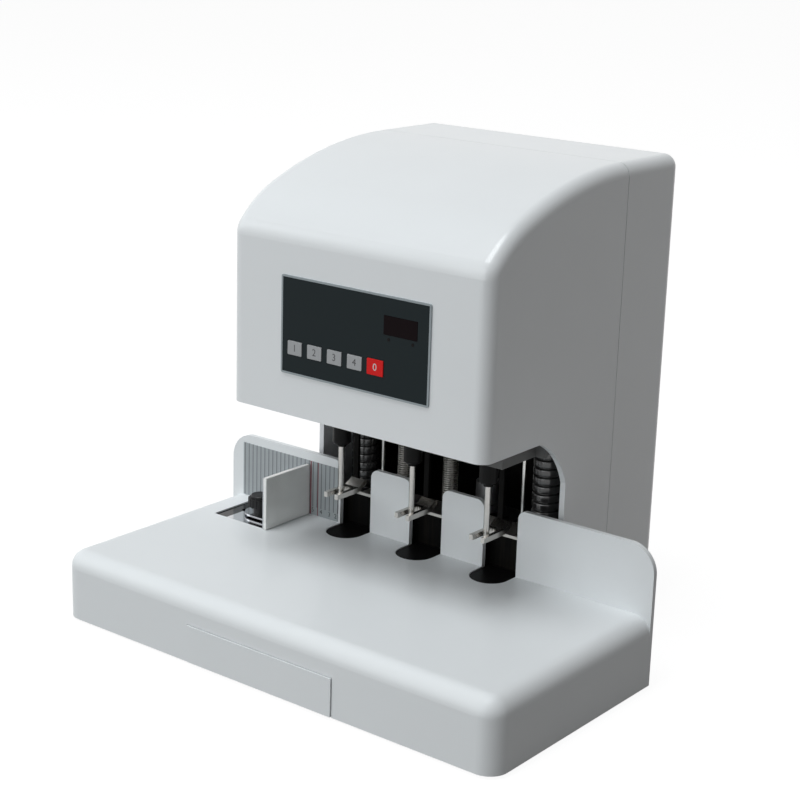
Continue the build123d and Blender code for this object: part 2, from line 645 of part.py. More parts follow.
# Two close-coiled pull springs between the ledge and the presser bar
spring_places = (-37.0, 13.0)
spring_y = fence_y + 16.5
wire = 1.3
coil_radius = 6.35
coil_count = 47
spring_z = (ledge_z[1] + wire / 2 + 0.2, bar_z[0] - wire / 2 - 0.2)
coil_pitch = (spring_z[1] - spring_z[0]) / coil_count


def helix_point(turns):
    angle = 2 * math.pi * turns
    return Vector(coil_radius * math.cos(angle), coil_radius * math.sin(angle), coil_pitch * turns)


def helix_tangent(turns):
    angle = 2 * math.pi * turns
    rise = coil_pitch / (2 * math.pi)
    return Vector(-coil_radius * math.sin(angle), coil_radius * math.cos(angle), rise).normalized()


def coil_path(x):
    # half turns, each a pair of arcs that share their tangents
    base = Vector(x, spring_y, spring_z[0])
    with BuildLine() as path:
        for half in range(2 * coil_count):
            start, end = base + helix_point(half / 2), base + helix_point(half / 2 + 0.5)
            start_way, end_way = helix_tangent(half / 2), helix_tangent(half / 2 + 0.5)
            span, ways = end - start, start_way + end_way
            spread = 2 * (1 - start_way.dot(end_way))
            reach = (math.sqrt(span.dot(ways) ** 2 + spread * span.dot(span)) - span.dot(ways)) / spread
            middle = (start + end + (start_way - end_way) * reach) * 0.5
            first = TangentArc(start, middle, tangent=start_way)
            TangentArc(middle, end, tangent=first % 1)
    return path


with BuildPart() as presser_springs:
    for x in spring_places:
        path = coil_path(x)
        with BuildSketch(Plane(path.line @ 0, z_dir=path.line % 0)):
            Circle(wire / 2)
        sweep(path=path.line)
save(presser_springs, "presser_springs")
print("spring gap between turns", round(coil_pitch - wire, 3))

# --- Controls ---------------------------------------------------------------

display_x, display_z = (32.5, 66.3), (283.9, 299.5)
light_places = ((37.7, 280.2), (61.9, 280.2))
key_gap = 0.3
key_travel = 0.5
keys = [(f"key_{i + 1}", first_key_x + i * key_pitch, key_size) for i in range(4)]
keys.append(("zero_key", red_key_x, red_key_size))
panel_front = head_front_y - panel_thickness
light_radius = 1.3
with BuildPart() as control_panel:
    block(panel_x, (panel_front, head_front_y), panel_z)
    fillet(control_panel.edges().filter_by(Axis.Y), 2.0)
    block((display_x[0] - 0.2, display_x[1] + 0.2), (panel_front, head_front_y),
          (display_z[0] - 0.2, display_z[1] + 0.2), Mode.SUBTRACT)
    for x, z in light_places:
        lengthwise(x, (panel_front, head_front_y), z, light_radius + 0.1, Mode.SUBTRACT)
    for name, x, size in keys:
        block((x - size[0] / 2 - key_gap, x + size[0] / 2 + key_gap), (panel_front, head_front_y),
              (key_z - size[1] / 2 - key_gap, key_z + size[1] / 2 + key_gap), Mode.SUBTRACT)
save(control_panel, "control_panel")

switch_front = board_y[0] - 4.0
for name, x, size in keys:
    with BuildPart() as key:
        block((x - size[0] / 2, x + size[0] / 2), (panel_front - 0.7, head_front_y),
              (key_z - size[1] / 2, key_z + size[1] / 2))
        fillet(key.edges().filter_by(Axis.Y), 0.8)
        fillet(key.edges().group_by(Axis.Y)[0], 0.3)
        block((x - 2, x + 2), (head_front_y, switch_front - key_travel - 0.2), (key_z - 2, key_z + 2))
    save(key, name)

with BuildPart() as display_window:
    block(display_x, (panel_front - 0.2, head_front_y + 1.0), display_z)
save(display_window, "display_window")

with BuildPart() as indicator_lights:
    for x, z in light_places:
        lengthwise(x, (panel_front - 0.2, board_y[0]), z, light_radius)
save(indicator_lights, "indicator_lights")

with BuildPart() as circuit_board:
    block(board_x, board_y, board_z)
    for name, x, size in keys:
        block((x - 3, x + 3), (switch_front, board_y[0]), (key_z - 3, key_z + 3))
    block((display_x[0] + 1, display_x[1] - 1), (head_front_y + 1.2, board_y[0]), (display_z[0] + 1, display_z[1] - 1))
    block((-50, -20), (board_y[1], board_y[1] + 12), (260, 290))
    block((20, 45), (board_y[1], board_y[1] + 8), (248, 261))
save(circuit_board, "circuit_board")

# Power inlet with its switch frame, in the back
switch_z = inlet_z + 16.0
socket_centre = inlet_z - 10.0
rocker_size = (12.0, 17.0)
with BuildPart() as power_inlet:
    block((inlet_x - inlet_size[0] / 2 - 3, inlet_x + inlet_size[0] / 2 + 3), (back_y, back_y + back_proud),
          (inlet_z - inlet_size[1] / 2 - 3, inlet_z + inlet_size[1] / 2 + 3))
    fillet(power_inlet.edges().filter_by(Axis.Y), 3)
    block((inlet_x - inlet_size[0] / 2 + 0.3, inlet_x + inlet_size[0] / 2 - 0.3), (back_y - 28, back_y),
          (inlet_z - inlet_size[1] / 2 + 0.3, inlet_z + inlet_size[1] / 2 - 0.3))
    block((inlet_x - 12, inlet_x + 12), (back_y - 18, back_y + back_proud), (socket_centre - 8, socket_centre + 8),
          Mode.SUBTRACT)
    block((inlet_x - rocker_size[0] / 2 - 0.5, inlet_x + rocker_size[0] / 2 + 0.5), (back_y - 14, back_y + back_proud),
          (switch_z - rocker_size[1] / 2 - 0.5, switch_z + rocker_size[1] / 2 + 0.5), Mode.SUBTRACT)
    for x in (-6, 0, 6):
        block((inlet_x + x - 1, inlet_x + x + 1), (back_y - 18, back_y - 3), (socket_centre - 2, socket_centre + 2))
save(power_inlet, "power_inlet")

# Rocker on a pin across its frame, tipped with its top half in
rocker_pin_y = back_y - 6.0
rocker_tilt = 7.0
with BuildPart() as rocker_switch:
    with Locations(Location((inlet_x, rocker_pin_y, switch_z), (-rocker_tilt, 0, 0))):
        Box(rocker_size[0], 6.2, rocker_size[1] - 1.5, align=(Align.CENTER, Align.MIN, Align.CENTER))
    with Locations(Location((inlet_x, rocker_pin_y, switch_z), (0, 90, 0))):
        Cylinder(1.5, rocker_size[0] + 0.8)
save(rocker_switch, "rocker_switch")

# Screws: four hold the fence to the table, six hold the rear cover to the frame
fence_screw_x = (-200.0, -150.0, 150.0, 200.0)
fence_screw_z = 30.0
cross_size = (4.4, 1.0, 1.4)
with BuildPart() as case_screws:
    for x in fence_screw_x:
        lengthwise(x, (fence_y + fence_thickness, fence_y + fence_thickness + 2.4), fence_screw_z, 4.0)
    for sx in (-1, 1):
        for z in cover_screw_z:
            lengthwise(sx * screw_x, (back_y, back_y + back_proud), z, 4.2)
            lengthwise(sx * screw_x, (frame_y[1] - 10, back_y), z, screw_hole)
    heads = [(x, fence_y + fence_thickness + 2.4, fence_screw_z) for x in fence_screw_x]
    heads += [(sx * screw_x, back_y + back_proud, z) for sx in (-1, 1) for z in cover_screw_z]
    for x, y, z in heads:
        for wide, high in (cross_size[:2], cross_size[1::-1]):
            block((x - wide / 2, x + wide / 2), (y - cross_size[2], y), (z - high / 2, z + high / 2), Mode.SUBTRACT)
save(case_screws, "case_screws")
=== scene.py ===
import bpy
import bmesh
import math
from mathutils import Matrix, Vector


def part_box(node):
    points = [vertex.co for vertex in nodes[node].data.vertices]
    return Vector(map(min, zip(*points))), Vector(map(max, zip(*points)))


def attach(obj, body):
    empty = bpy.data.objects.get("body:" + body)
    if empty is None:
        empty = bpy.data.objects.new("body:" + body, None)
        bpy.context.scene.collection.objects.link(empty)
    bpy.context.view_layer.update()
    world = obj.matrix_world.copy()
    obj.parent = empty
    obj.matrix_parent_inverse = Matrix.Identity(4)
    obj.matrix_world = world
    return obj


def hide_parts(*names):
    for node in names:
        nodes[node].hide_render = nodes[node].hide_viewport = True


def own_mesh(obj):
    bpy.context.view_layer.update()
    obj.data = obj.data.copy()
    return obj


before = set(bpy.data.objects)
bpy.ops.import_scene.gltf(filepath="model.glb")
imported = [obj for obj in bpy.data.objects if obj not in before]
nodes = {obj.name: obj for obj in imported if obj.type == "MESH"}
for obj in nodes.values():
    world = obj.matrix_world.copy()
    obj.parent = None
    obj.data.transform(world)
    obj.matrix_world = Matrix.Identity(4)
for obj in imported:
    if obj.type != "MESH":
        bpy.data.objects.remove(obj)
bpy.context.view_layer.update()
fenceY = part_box("fence")[0].y  # front face of the paper fence
print("frame loaded,", len(nodes), "nodes")

# camera, at the photograph's place
cameraSet = {"focal": 81.8726, "sensor": 36, "clipStart": 0.05, "azimuth": 37.870, "elevation": 16.131,
             "roll": 1.738, "x": 0.90419, "beforeFence": 1.20439, "z": 0.63523}


def makeCamera(c):
    azimuth, elevation, roll = (math.radians(c[k]) for k in ("azimuth", "elevation", "roll"))
    flat = Vector((math.sin(azimuth), -math.cos(azimuth), 0))
    back = flat * math.cos(elevation) + Vector((0, 0, math.sin(elevation)))
    right = Vector((math.cos(azimuth), math.sin(azimuth), 0))
    up = back.cross(right)
    tiltedRight = right * math.cos(roll) + up * math.sin(roll)
    tiltedUp = up * math.cos(roll) - right * math.sin(roll)
    data = bpy.data.cameras.new("camera")
    data.lens = c["focal"]
    data.sensor_width = c["sensor"]
    data.clip_start = c["clipStart"]
    cam = bpy.data.objects.new("camera", data)
    turn = Matrix((tiltedRight, tiltedUp, back)).transposed().to_4x4()
    cam.matrix_world = Matrix.Translation((c["x"], fenceY - c["beforeFence"], c["z"])) @ turn
    bpy.context.scene.collection.objects.link(cam)
    bpy.context.scene.camera = cam


makeCamera(cameraSet)
bpy.context.scene.view_settings.view_transform = "Standard"
print("camera placed")


class Wire:
    # one output of a material's tree, used in sums like a number
    def __init__(self, tree, socket=None):
        self.tree = tree
        self.socket = socket

    def node(self, kind, settings=None, values=None, out=0):
        made = self.tree.nodes.new(kind)
        for key, value in (settings or {}).items():
            setattr(made, key, value)
        for key, value in (values or {}).items():
            if isinstance(value, Wire):
                self.tree.links.new(value.socket, made.inputs[key])
            else:
                made.inputs[key].default_value = value
        return Wire(self.tree, made.outputs[out])

    def maths(self, operation, a, b=0.0):
        return self.node("ShaderNodeMath", {"operation": operation}, {0: a, 1: b})

    def __add__(self, other):
        return self.maths("ADD", self, other)

    def __radd__(self, other):
        return self.maths("ADD", other, self)

    def __sub__(self, other):
        return self.maths("SUBTRACT", self, other)

    def __rsub__(self, other):
        return self.maths("SUBTRACT", other, self)

    def __mul__(self, other):
        return self.maths("MULTIPLY", self, other)

    def __rmul__(self, other):
        return self.maths("MULTIPLY", other, self)

    def __mod__(self, other):
        return self.maths("FLOORED_MODULO", self, other)

    def __rmod__(self, other):
        return self.maths("FLOORED_MODULO", other, self)

    def __lt__(self, other):
        return self.maths("LESS_THAN", self, other)

    def __gt__(self, other):
        return self.maths("GREATER_THAN", self, other)

    def __abs__(self):
        return self.maths("ABSOLUTE", self)

    def least(self, other):
        return self.maths("MINIMUM", self, other)

    def most(self, other):
        return self.maths("MAXIMUM", self, other)

    def clamped(self):
        return self.node("ShaderNodeClamp", None, {0: self})

    def blend(self, a, b):
        # colour a where this is 0, b where it is 1; a Mix node's colours are its inputs 6 and 7 and its output 2
        pair = {0: self}
        for index, value in ((6, a), (7, b)):
            pair[index] = value if isinstance(value, Wire) else (*value, 1)
        return self.node("ShaderNodeMix", {"data_type": "RGBA"}, pair, out=2)


def axis(wire, place, name):
    # the place along X, Y or Z
    return wire.node("ShaderNodeSeparateXYZ", None, {"Vector": place}, out=name)


def scaled(wire, place, stretch):
    return wire.node("ShaderNodeMapping", None, {"Vector": place, "Scale": stretch})


def noise(wire, place, size, detail=3.0, rough=0.5):
    # size is the width of one blotch, in metres
    return wire.node("ShaderNodeTexNoise", None,
                     {"Vector": place, "Scale": 1 / size, "Detail": detail, "Roughness": rough})


def bump(wire, height, depth, strength=0.5):
    return wire.node("ShaderNodeBump", None, {"Height": height, "Distance": depth, "Strength": strength})


def tinted(colour, factor):
    return tuple(min(1.0, c * factor) for c in colour)


def mottled(mask, colour, spread):
    # the colour a little darker and a little lighter, by spread
    return mask.blend(tinted(colour, 1 - spread), tinted(colour, 1 + spread))


# sprayed paint: slight orange peel, clouded gloss
paintSet = {"peelSize": 0.0022, "peelStrength": 0.35, "cloudSize": 0.09, "spread": 0.02, "glossSize": 0.03,
            "smoothest": 0.27, "roughen": 0.10}


def painted(wire, place, colour, peel=0.00003):
    s = paintSet
    ripple = noise(wire, place, s["peelSize"], detail=2.0)
    cloud = noise(wire, place, s["cloudSize"], detail=4.0)
    gloss = noise(wire, place, s["glossSize"], detail=5.0)
    return {"Base Color": mottled(cloud, colour, s["spread"]),
            "Roughness": gloss * s["roughen"] + s["smoothest"],
            "Normal": bump(wire, ripple, peel, s["peelStrength"])}


# rear cover: the same paint, with the inside of its back panel painted near-black as painted shade deep inside the
# head
rearSet = {"wall": 0.004, "corner": 0.012, "sill": 0.006, "inside": (0.003, 0.003, 0.003)}


def paintedWithShadedInside(wire, place, colour):
    s = rearSet
    low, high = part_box("rear_cover")
    x, y, z = (axis(wire, place, name) for name in "XYZ")
    across = (y < high.y - s["wall"]) * (abs(x) < high.x - s["corner"])
    inside = across * (z < high.z - s["corner"]) * (z > low.z + s["sill"])
    paint = painted(wire, place, colour)
    # painted shade: the inside of the back panel is coloured near-black to stand for the shade deep inside the
    # head
    paint["Base Color"] = inside.blend(paint["Base Color"], s["inside"])
    return paint


# brushed steel: fine parallel scratches, stretched along one axis
brushSet = {"scratch": 0.0005, "cloudSize": 0.012, "lineShare": 0.6, "cloudShare": 0.4, "dark": 0.82,
            "light": 1.12, "x": (0.03, 1, 1), "y": (1, 0.03, 1), "z": (1, 1, 0.03)}


def brushed(wire, place, colour, along, low, high, depth=0.00002):
    s = brushSet
    lines = noise(wire, scaled(wire, place, s[along]), s["scratch"], detail=4.0, rough=0.6)
    cloud = noise(wire, place, s["cloudSize"], detail=4.0)
    mixed = lines * s["lineShare"] + cloud * s["cloudShare"]
    return {"Base Color": mixed.blend(tinted(colour, s["dark"]), tinted(colour, s["light"])),
            "Roughness": lines * (high - low) + low,
            "Normal": bump(wire, lines, depth)}


# turned or ground metal: rings round an upright axis
turnedSet = {"stretch": (0.05, 0.05, 1), "stainSize": 0.009, "ringShare": 0.7, "stainShare": 0.3, "dark": 0.84,
             "light": 1.1}


def turned(wire, place, colour, low, high, step=0.0006, depth=0.00002):
    s = turnedSet
    rings = noise(wire, scaled(wire, place, s["stretch"]), step, rough=0.6)
    stain = noise(wire, place, s["stainSize"], detail=5.0, rough=0.6)
    mixed = rings * s["ringShare"] + stain * s["stainShare"]
    return {"Base Color": stain.blend(tinted(colour, s["dark"]), tinted(colour, s["light"])),
            "Roughness": mixed * (high - low) + low,
            "Normal": bump(wire, rings, depth)}


# moulded plastic or cast metal: fine pebbled grain
mouldSet = {"cloudSize": 0.02, "pebbleShare": 0.5, "cloudShare": 0.5}


def moulded(wire, place, colour, low, high, grain=0.0009, depth=0.00005, spread=0.15):
    s = mouldSet
    pebble = noise(wire, place, grain, rough=0.6)
    cloud = noise(wire, place, s["cloudSize"], detail=4.0)
    mixed = pebble * s["pebbleShare"] + cloud * s["cloudShare"]
    return {"Base Color": mottled(cloud, colour, spread),
            "Roughness": mixed * (high - low) + low,
            "Normal": bump(wire, pebble, depth)}


# rubber, with grey dust in patches
rubberSet = {"grain": 0.0007, "depth": 0.00006, "roughen": 0.16, "dust": (0.10, 0.10, 0.10), "dustSize": 0.014,
             "dustFrom": 0.52, "dustSharp": 3.0, "dustMost": 0.35, "dustRoughen": 0.4}


def rubbery(wire, place, colour, smoothest=0.30):
    s = rubberSet
    grain = noise(wire, place, s["grain"], detail=4.0, rough=0.65)
    patch = noise(wire, place, s["dustSize"], detail=5.0, rough=0.7)
    dusty = ((patch - s["dustFrom"]) * s["dustSharp"]).clamped() * s["dustMost"]
    return {"Base Color": dusty.blend(colour, s["dust"]),
            "Roughness": grain * s["roughen"] + dusty * s["dustRoughen"] + smoothest,
            "Normal": bump(wire, grain, s["depth"])}


# throat plate: blackened, with brown rubbed streaks and its folded edge left bright
throatSet = {"ledge": 0.0914, "black": (0.006, 0.006, 0.006), "brown": (0.022, 0.018, 0.013),
             "steel": (0.60, 0.59, 0.56), "metallic": 0.9, "streakSize": 0.006, "stretch": (1, 1, 0.04),
             "streakFrom": 0.5, "streakSharp": 4.0, "streakMost": 0.6, "smoothest": 0.30, "roughen": 0.12}


def throatSteel(wire, place):
    s = throatSet
    streaks = noise(wire, scaled(wire, place, s["stretch"]), s["streakSize"], detail=4.0, rough=0.6)
    rubbed = ((streaks - s["streakFrom"]) * s["streakSharp"]).clamped() * s["streakMost"]
    bright = axis(wire, place, "Z") > s["ledge"]
    return {"Base Color": bright.blend(rubbed.blend(s["black"], s["brown"]), s["steel"]),
            "Metallic": bright * s["metallic"],
            "Roughness": streaks * s["roughen"] + s["smoothest"]}


# gauge rail: polished, its far end painted dark as painted shade where the slot runs under the table
railSet = {"paintedShadeEnd": 0.019, "steel": (0.56, 0.57, 0.59), "light": 1.1, "shade": (0.012, 0.012, 0.013),
           "smoothest": 0.08, "roughen": 0.08}


def polishedRail(wire, place):
    s = railSet
    lines = noise(wire, scaled(wire, place, brushSet["x"]), brushSet["scratch"], detail=4.0, rough=0.6)
    # painted shade: the rail's far end is coloured near-black where the slot runs under the table
    dark = axis(wire, place, "X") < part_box("gauge_rail")[0].x + s["paintedShadeEnd"]
    return {"Base Color": dark.blend(lines.blend(s["steel"], tinted(s["steel"], s["light"])), s["shade"]),
            "Roughness": lines * s["roughen"] + s["smoothest"]}


# frame sides and head plate: grey paint ahead of the fence; behind it, near-black as painted shade inside the
# column
cheekSet = {"beforeFence": 0.004, "cloudSize": 0.01, "dark": (0.15, 0.15, 0.148), "light": (0.19, 0.19, 0.188),
            "black": (0.008, 0.008, 0.008), "smoothest": 0.36, "roughen": 0.14}


def cheekPaintAndShade(wire, place):
    s = cheekSet
    cloud = noise(wire, place, s["cloudSize"], detail=4.0)
    # painted shade: behind the fence the cheeks are coloured near-black to stand for the shade inside the column
    ahead = axis(wire, place, "Y") < fenceY - s["beforeFence"]
    return {"Base Color": ahead.blend(s["black"], cloud.blend(s["dark"], s["light"])),
            "Roughness": cloud * s["roughen"] + s["smoothest"]}


# control panel: dark film with a pale border
panelSet = {"border": 0.0017, "field": (0.007, 0.013, 0.015), "edge": (0.34, 0.38, 0.40), "grain": 0.0008,
            "depth": 0.00002, "strength": 0.4, "smoothest": 0.36, "roughen": 0.12}


def panelFilm(wire, place):
    s = panelSet
    low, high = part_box("control_panel")
    x, z = axis(wire, place, "X"), axis(wire, place, "Z")
    inset = (x - low.x).least(high.x - x).least(z - low.z).least(high.z - z)
    film = noise(wire, place, s["grain"])
    return {"Base Color": (inset < s["border"]).blend(s["field"], s["edge"]),
            "Roughness": film * s["roughen"] + s["smoothest"],
            "Normal": bump(wire, film, s["depth"], s["strength"])}


# scale plate: a line every half centimetre, two of them red, none over the numbers
scaleSet = {"pitch": 0.005, "line": 0.00055, "ground": (0.37, 0.405, 0.42), "ink": (0.17, 0.175, 0.19),
            "red": (0.22, 0.08, 0.09), "broadRed": -0.1327, "broad": 1.6, "thinRed": -0.124,
            "numbersFrom": -0.134, "numbersTop": 0.0078, "mottleSize": 0.008, "spread": 0.07,
            "smoothest": 0.32, "roughen": 0.15}


def scalePrint(wire, place):
    s = scaleSet
    x, z = axis(wire, place, "X"), axis(wire, place, "Z")
    numbered = (x > s["numbersFrom"]) * (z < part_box("scale_plate")[0].z + s["numbersTop"])
    fromLine = abs((x + s["pitch"] / 2) % s["pitch"] - s["pitch"] / 2)
    inkLine = (fromLine < s["line"]) * (1 - numbered)
    broadRed = abs(x - s["broadRed"]) < s["line"] * s["broad"]
    thinRed = abs(x - s["thinRed"]) < s["line"]
    mottle = noise(wire, place, s["mottleSize"], detail=4.0)
    lined = inkLine.blend(mottled(mottle, s["ground"], s["spread"]), s["ink"])
    return {"Base Color": broadRed.most(thinRed).blend(lined, s["red"]),
            "Roughness": mottle * s["roughen"] + s["smoothest"]}


# circuit board: green laminate with a net of tracks under the mask
boardSet = {"acrossPitch": 0.0051, "acrossStart": 0.0025, "upPitch": 0.0062, "upStart": 0.003, "track": 0.0004,
            "cells": 260.0, "cellEdge": 0.28, "mask": (0.008, 0.085, 0.030), "copper": (0.03, 0.20, 0.07),
            "smoothest": 0.30, "roughen": 0.1}


def circuitLaminate(wire, place):
    s = boardSet
    x, z = axis(wire, place, "X"), axis(wire, place, "Z")
    cells = wire.node("ShaderNodeTexVoronoi", {"feature": "DISTANCE_TO_EDGE", "distance": "CHEBYCHEV"},
                      {"Vector": place, "Scale": s["cells"]})
    across = abs(x % s["acrossPitch"] - s["acrossStart"]) < s["track"]
    upward = abs(z % s["upPitch"] - s["upStart"]) < s["track"]
    tracks = across.most(upward) * (cells < s["cellEdge"])
    return {"Base Color": tracks.blend(s["mask"], s["copper"]),
            "Roughness": tracks * s["roughen"] + s["smoothest"]}


# every finish: its recipe, the CAD nodes that it is on, what is fixed on its shader, and the recipe's values
white = (0.80, 0.825, 0.84)
paleWhite = (0.85, 0.878, 0.893)
coat = {"Coat Weight": 0.25, "Coat Roughness": 0.08}
metal = {"Metallic": 1.0}
finishSet = {
    "whitePaint": {"recipe": painted, "on": "front_cover", "fixed": coat, "colour": white},
    "rearPaint": {"recipe": paintedWithShadedInside, "on": "rear_cover", "fixed": coat, "colour": white},
    "tablePaint": {"recipe": painted, "on": "table_cover fence chip_drawer",
                   "fixed": {"Specular IOR Level": 0.1, "Coat Weight": 0.14, "Coat Roughness": 0.06},
                   "colour": paleWhite, "peel": 0.00004},
    "gaugePlastic": {"recipe": moulded, "on": "gauge_plate", "fixed": {"Coat Weight": 0.8, "Coat Roughness": 0.05},
                     "colour": (0.88, 0.89, 0.87), "low": 0.08, "high": 0.22, "grain": 0.003, "depth": 0.00002,
                     "spread": 0.07},
    "throatPlate": {"recipe": throatSteel, "on": "throat_plate", "fixed": {"Specular IOR Level": 0.03}},
    "blackenedPlate": {"recipe": brushed, "on": "presser_bar", "fixed": {"Specular IOR Level": 0.04},
                       "colour": (0.006, 0.0058, 0.0055), "along": "z", "low": 0.26, "high": 0.42},
    "blackenedChuck": {"recipe": turned, "on": "chuck_left chuck_middle chuck_right",
                       "fixed": {"Specular IOR Level": 0.1}, "colour": (0.008, 0.008, 0.008),
                       "low": 0.28, "high": 0.46},
    "framePaint": {"recipe": cheekPaintAndShade, "on": "head_plate frame_sides", "fixed": {"Specular IOR Level": 0.08}},
    "forkSteel": {"recipe": brushed, "on": "presser_fork_left presser_fork_middle presser_fork_right",
                  "fixed": metal, "colour": (0.56, 0.54, 0.51), "along": "y", "low": 0.16, "high": 0.28},
    "drillSteel": {"recipe": turned, "on": "drill_left drill_middle drill_right", "fixed": metal,
                   "colour": (0.50, 0.49, 0.47), "low": 0.18, "high": 0.24, "step": 0.003, "depth": 0.000003},
    "plateSteel": {"recipe": brushed, "on": "top_plate base_plate drawer_runners", "fixed": metal,
                   "colour": (0.36, 0.36, 0.36), "along": "y", "low": 0.30, "high": 0.5, "depth": 0.00004},
    "polishedSteel": {"recipe": brushed, "on": "gauge_foot gauge_nut", "fixed": metal,
                      "colour": (0.58, 0.59, 0.61), "along": "x", "low": 0.08, "high": 0.18, "depth": 0.000005},
    "railSteel": {"recipe": polishedRail, "on": "gauge_rail", "fixed": metal},
    "polishedRod": {"recipe": turned, "on": "presser_rods guide_posts feed_screw", "fixed": metal,
                    "colour": (0.72, 0.72, 0.70), "low": 0.1, "high": 0.22},
    "bearingSteel": {"recipe": turned, "on": "spindle_bearings spindle_left spindle_middle spindle_right",
                     "fixed": metal, "colour": (0.52, 0.52, 0.53), "low": 0.16, "high": 0.32},
    "castAluminium": {"recipe": moulded, "on": "carriage motor_pulley shaft_coupling", "fixed": metal,
                      "colour": (0.56, 0.57, 0.58), "low": 0.34, "high": 0.54, "grain": 0.0012, "depth": 0.0001,
                      "spread": 0.08},
    "turnedBrass": {"recipe": turned, "on": "feed_nut", "fixed": metal, "colour": (0.62, 0.44, 0.17),
                    "low": 0.2, "high": 0.36},
    "porousBronze": {"recipe": moulded, "on": "guide_bushes", "fixed": metal, "colour": (0.45, 0.28, 0.14),
                     "low": 0.34, "high": 0.52, "grain": 0.0006, "depth": 0.00008, "spread": 0.12},
    "zincScrew": {"recipe": moulded, "on": "case_screws", "fixed": metal, "colour": (0.42, 0.42, 0.43),
                  "low": 0.28, "high": 0.44, "grain": 0.001, "depth": 0.00003, "spread": 0.1},
    "springWire": {"recipe": turned, "on": "presser_springs", "fixed": metal, "colour": (0.34, 0.33, 0.31),
                   "low": 0.2, "high": 0.36, "step": 0.0003},
    "motorPaint": {"recipe": moulded, "on": "drill_motor feed_motor", "fixed": {"Specular IOR Level": 0.3},
                   "colour": (0.03, 0.03, 0.032), "low": 0.32, "high": 0.5, "grain": 0.0014, "depth": 0.00008},
    "blackPlastic": {"recipe": moulded, "on": "gauge_knob power_inlet rocker_switch",
                     "fixed": {"Specular IOR Level": 0.3}, "colour": (0.01, 0.01, 0.0105),
                     "low": 0.3, "high": 0.5},
    "padPlastic": {"recipe": moulded, "on": "drill_pad_left drill_pad_middle drill_pad_right",
                   "fixed": {"Specular IOR Level": 0.04}, "colour": (0.0045, 0.0042, 0.0045),
                   "low": 0.34, "high": 0.5, "grain": 0.0011, "depth": 0.00004},
    "blackRubber": {"recipe": rubbery, "on": "rubber_feet bellows drive_belt", "colour": (0.018, 0.018, 0.018)},
    "bellowsRubber": {"recipe": rubbery, "fixed": {"Specular IOR Level": 1.0}, "colour": (0.022, 0.022, 0.022),
                      "smoothest": 0.14},
    "panelFilm": {"recipe": panelFilm, "on": "control_panel", "fixed": {"Specular IOR Level": 0.12}},
    "displayWindow": {"recipe": moulded, "on": "display_window", "fixed": {"Specular IOR Level": 0.04},
                      "colour": (0.008, 0.004, 0.005), "low": 0.1, "high": 0.18, "grain": 0.003,
                      "depth": 0.00001},
    "lampLens": {"recipe": moulded, "on": "indicator_lights", "fixed": {"Specular IOR Level": 0.1},
                 "colour": (0.008, 0.006, 0.006), "low": 0.16, "high": 0.26, "grain": 0.001, "depth": 0.00001},
    "greyKey": {"recipe": moulded, "on": "key_1 key_2 key_3 key_4", "colour": (0.36, 0.37, 0.38),
                "low": 0.32, "high": 0.46, "grain": 0.0006, "depth": 0.00003, "spread": 0.04},
    "redKey": {"recipe": moulded, "on": "zero_key", "fixed": {"Specular IOR Level": 0.15},
               "colour": (0.72, 0.014, 0.014), "low": 0.3, "high": 0.44, "grain": 0.0006, "depth": 0.00003,
               "spread": 0.05},
    "circuitLaminate": {"recipe": circuitLaminate, "on": "circuit_board"},
    "scalePrint": {"recipe": scalePrint, "on": "scale_plate"},
    "darkInk": {"recipe": moulded, "colour": (0.03, 0.03, 0.032), "low": 0.4, "high": 0.55},
    "keyInk": {"recipe": moulded, "colour": (0.05, 0.05, 0.055), "low": 0.4, "high": 0.55},
    "whiteInk": {"recipe": moulded, "colour": (0.62, 0.64, 0.64), "low": 0.4, "high": 0.55, "grain": 0.001,
                 "depth": 0.00001, "spread": 0.05},
}
finishes = {}


def makeFinish(name, recipe, on="", fixed=None, **values):
    material = bpy.data.materials.new(name)
    material.use_nodes = True
    shader = material.node_tree.nodes["Principled BSDF"]
    for key, value in (fixed or {}).items():
        shader.inputs[key].default_value = value
    wire = Wire(material.node_tree)
    place = wire.node("ShaderNodeTexCoord", out="Object")
    for key, value in recipe(wire, place, **values).items():
        material.node_tree.links.new(value.socket, shader.inputs[key])
    for node in on.split():
        nodes[node].data.materials.clear()
        nodes[node].data.materials.append(material)
    finishes[name] = material


for name, settings in finishSet.items():
    makeFinish(name, **settings)
print("finishes on", sum(len(s.get("on", "").split()) for s in finishSet.values()), "nodes")


def addPiece(name, mesh, finishName, body):
    # a piece that rides on a CAD body and has one of the finishes
    piece = bpy.data.objects.new(name, mesh)
    bpy.context.scene.collection.objects.link(piece)
    mesh.materials.clear()
    mesh.materials.append(finishes[finishName])
    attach(piece, body)
    return piece


def meshOf(name, verts, faces, smooth=True):
    mesh = bpy.data.meshes.new(name)
    mesh.from_pydata([tuple(v) for v in verts], [], faces)
    mesh.validate()
    cleaned = bmesh.new()
    cleaned.from_mesh(mesh)
    bmesh.ops.recalc_face_normals(cleaned, faces=cleaned.faces)
    cleaned.to_mesh(mesh)
    cleaned.free()
    for face in mesh.polygons:
        face.use_smooth = smooth
    return mesh


def ring(a, b, count):
    # the faces between two closed rows of vertices that start at a and b
    return [(a + k, a + (k + 1) % count, b + (k + 1) % count, b + k) for k in range(count)]


def closedRows(rows, count):
    # rows joined one to the next, and the last to the first
    return [face for row in range(rows) for face in ring(row * count, (row + 1) % rows * count, count)]


def tube(points, radius, sides):
    # rings of vertices along the points, closed with flat ends
    verts, faces = [], []
    normal = None
    for i, point in enumerate(points):
        way = (points[min(i + 1, len(points) - 1)] - points[max(i - 1, 0)]).normalized()
        if normal is None:
            normal = way.orthogonal().normalized()
        normal = (normal - way * normal.dot(way)).normalized()
        side = way.cross(normal)
        for k in range(sides):
            angle = 2 * math.pi * k / sides
            verts.append(point + normal * math.cos(angle) * radius + side * math.sin(angle) * radius)
        if i:
            faces += ring((i - 1) * sides, i * sides, sides)
    faces.append(tuple(range(sides)))
    faces.append(tuple(range(len(verts) - sides, len(verts))))
    return verts, faces


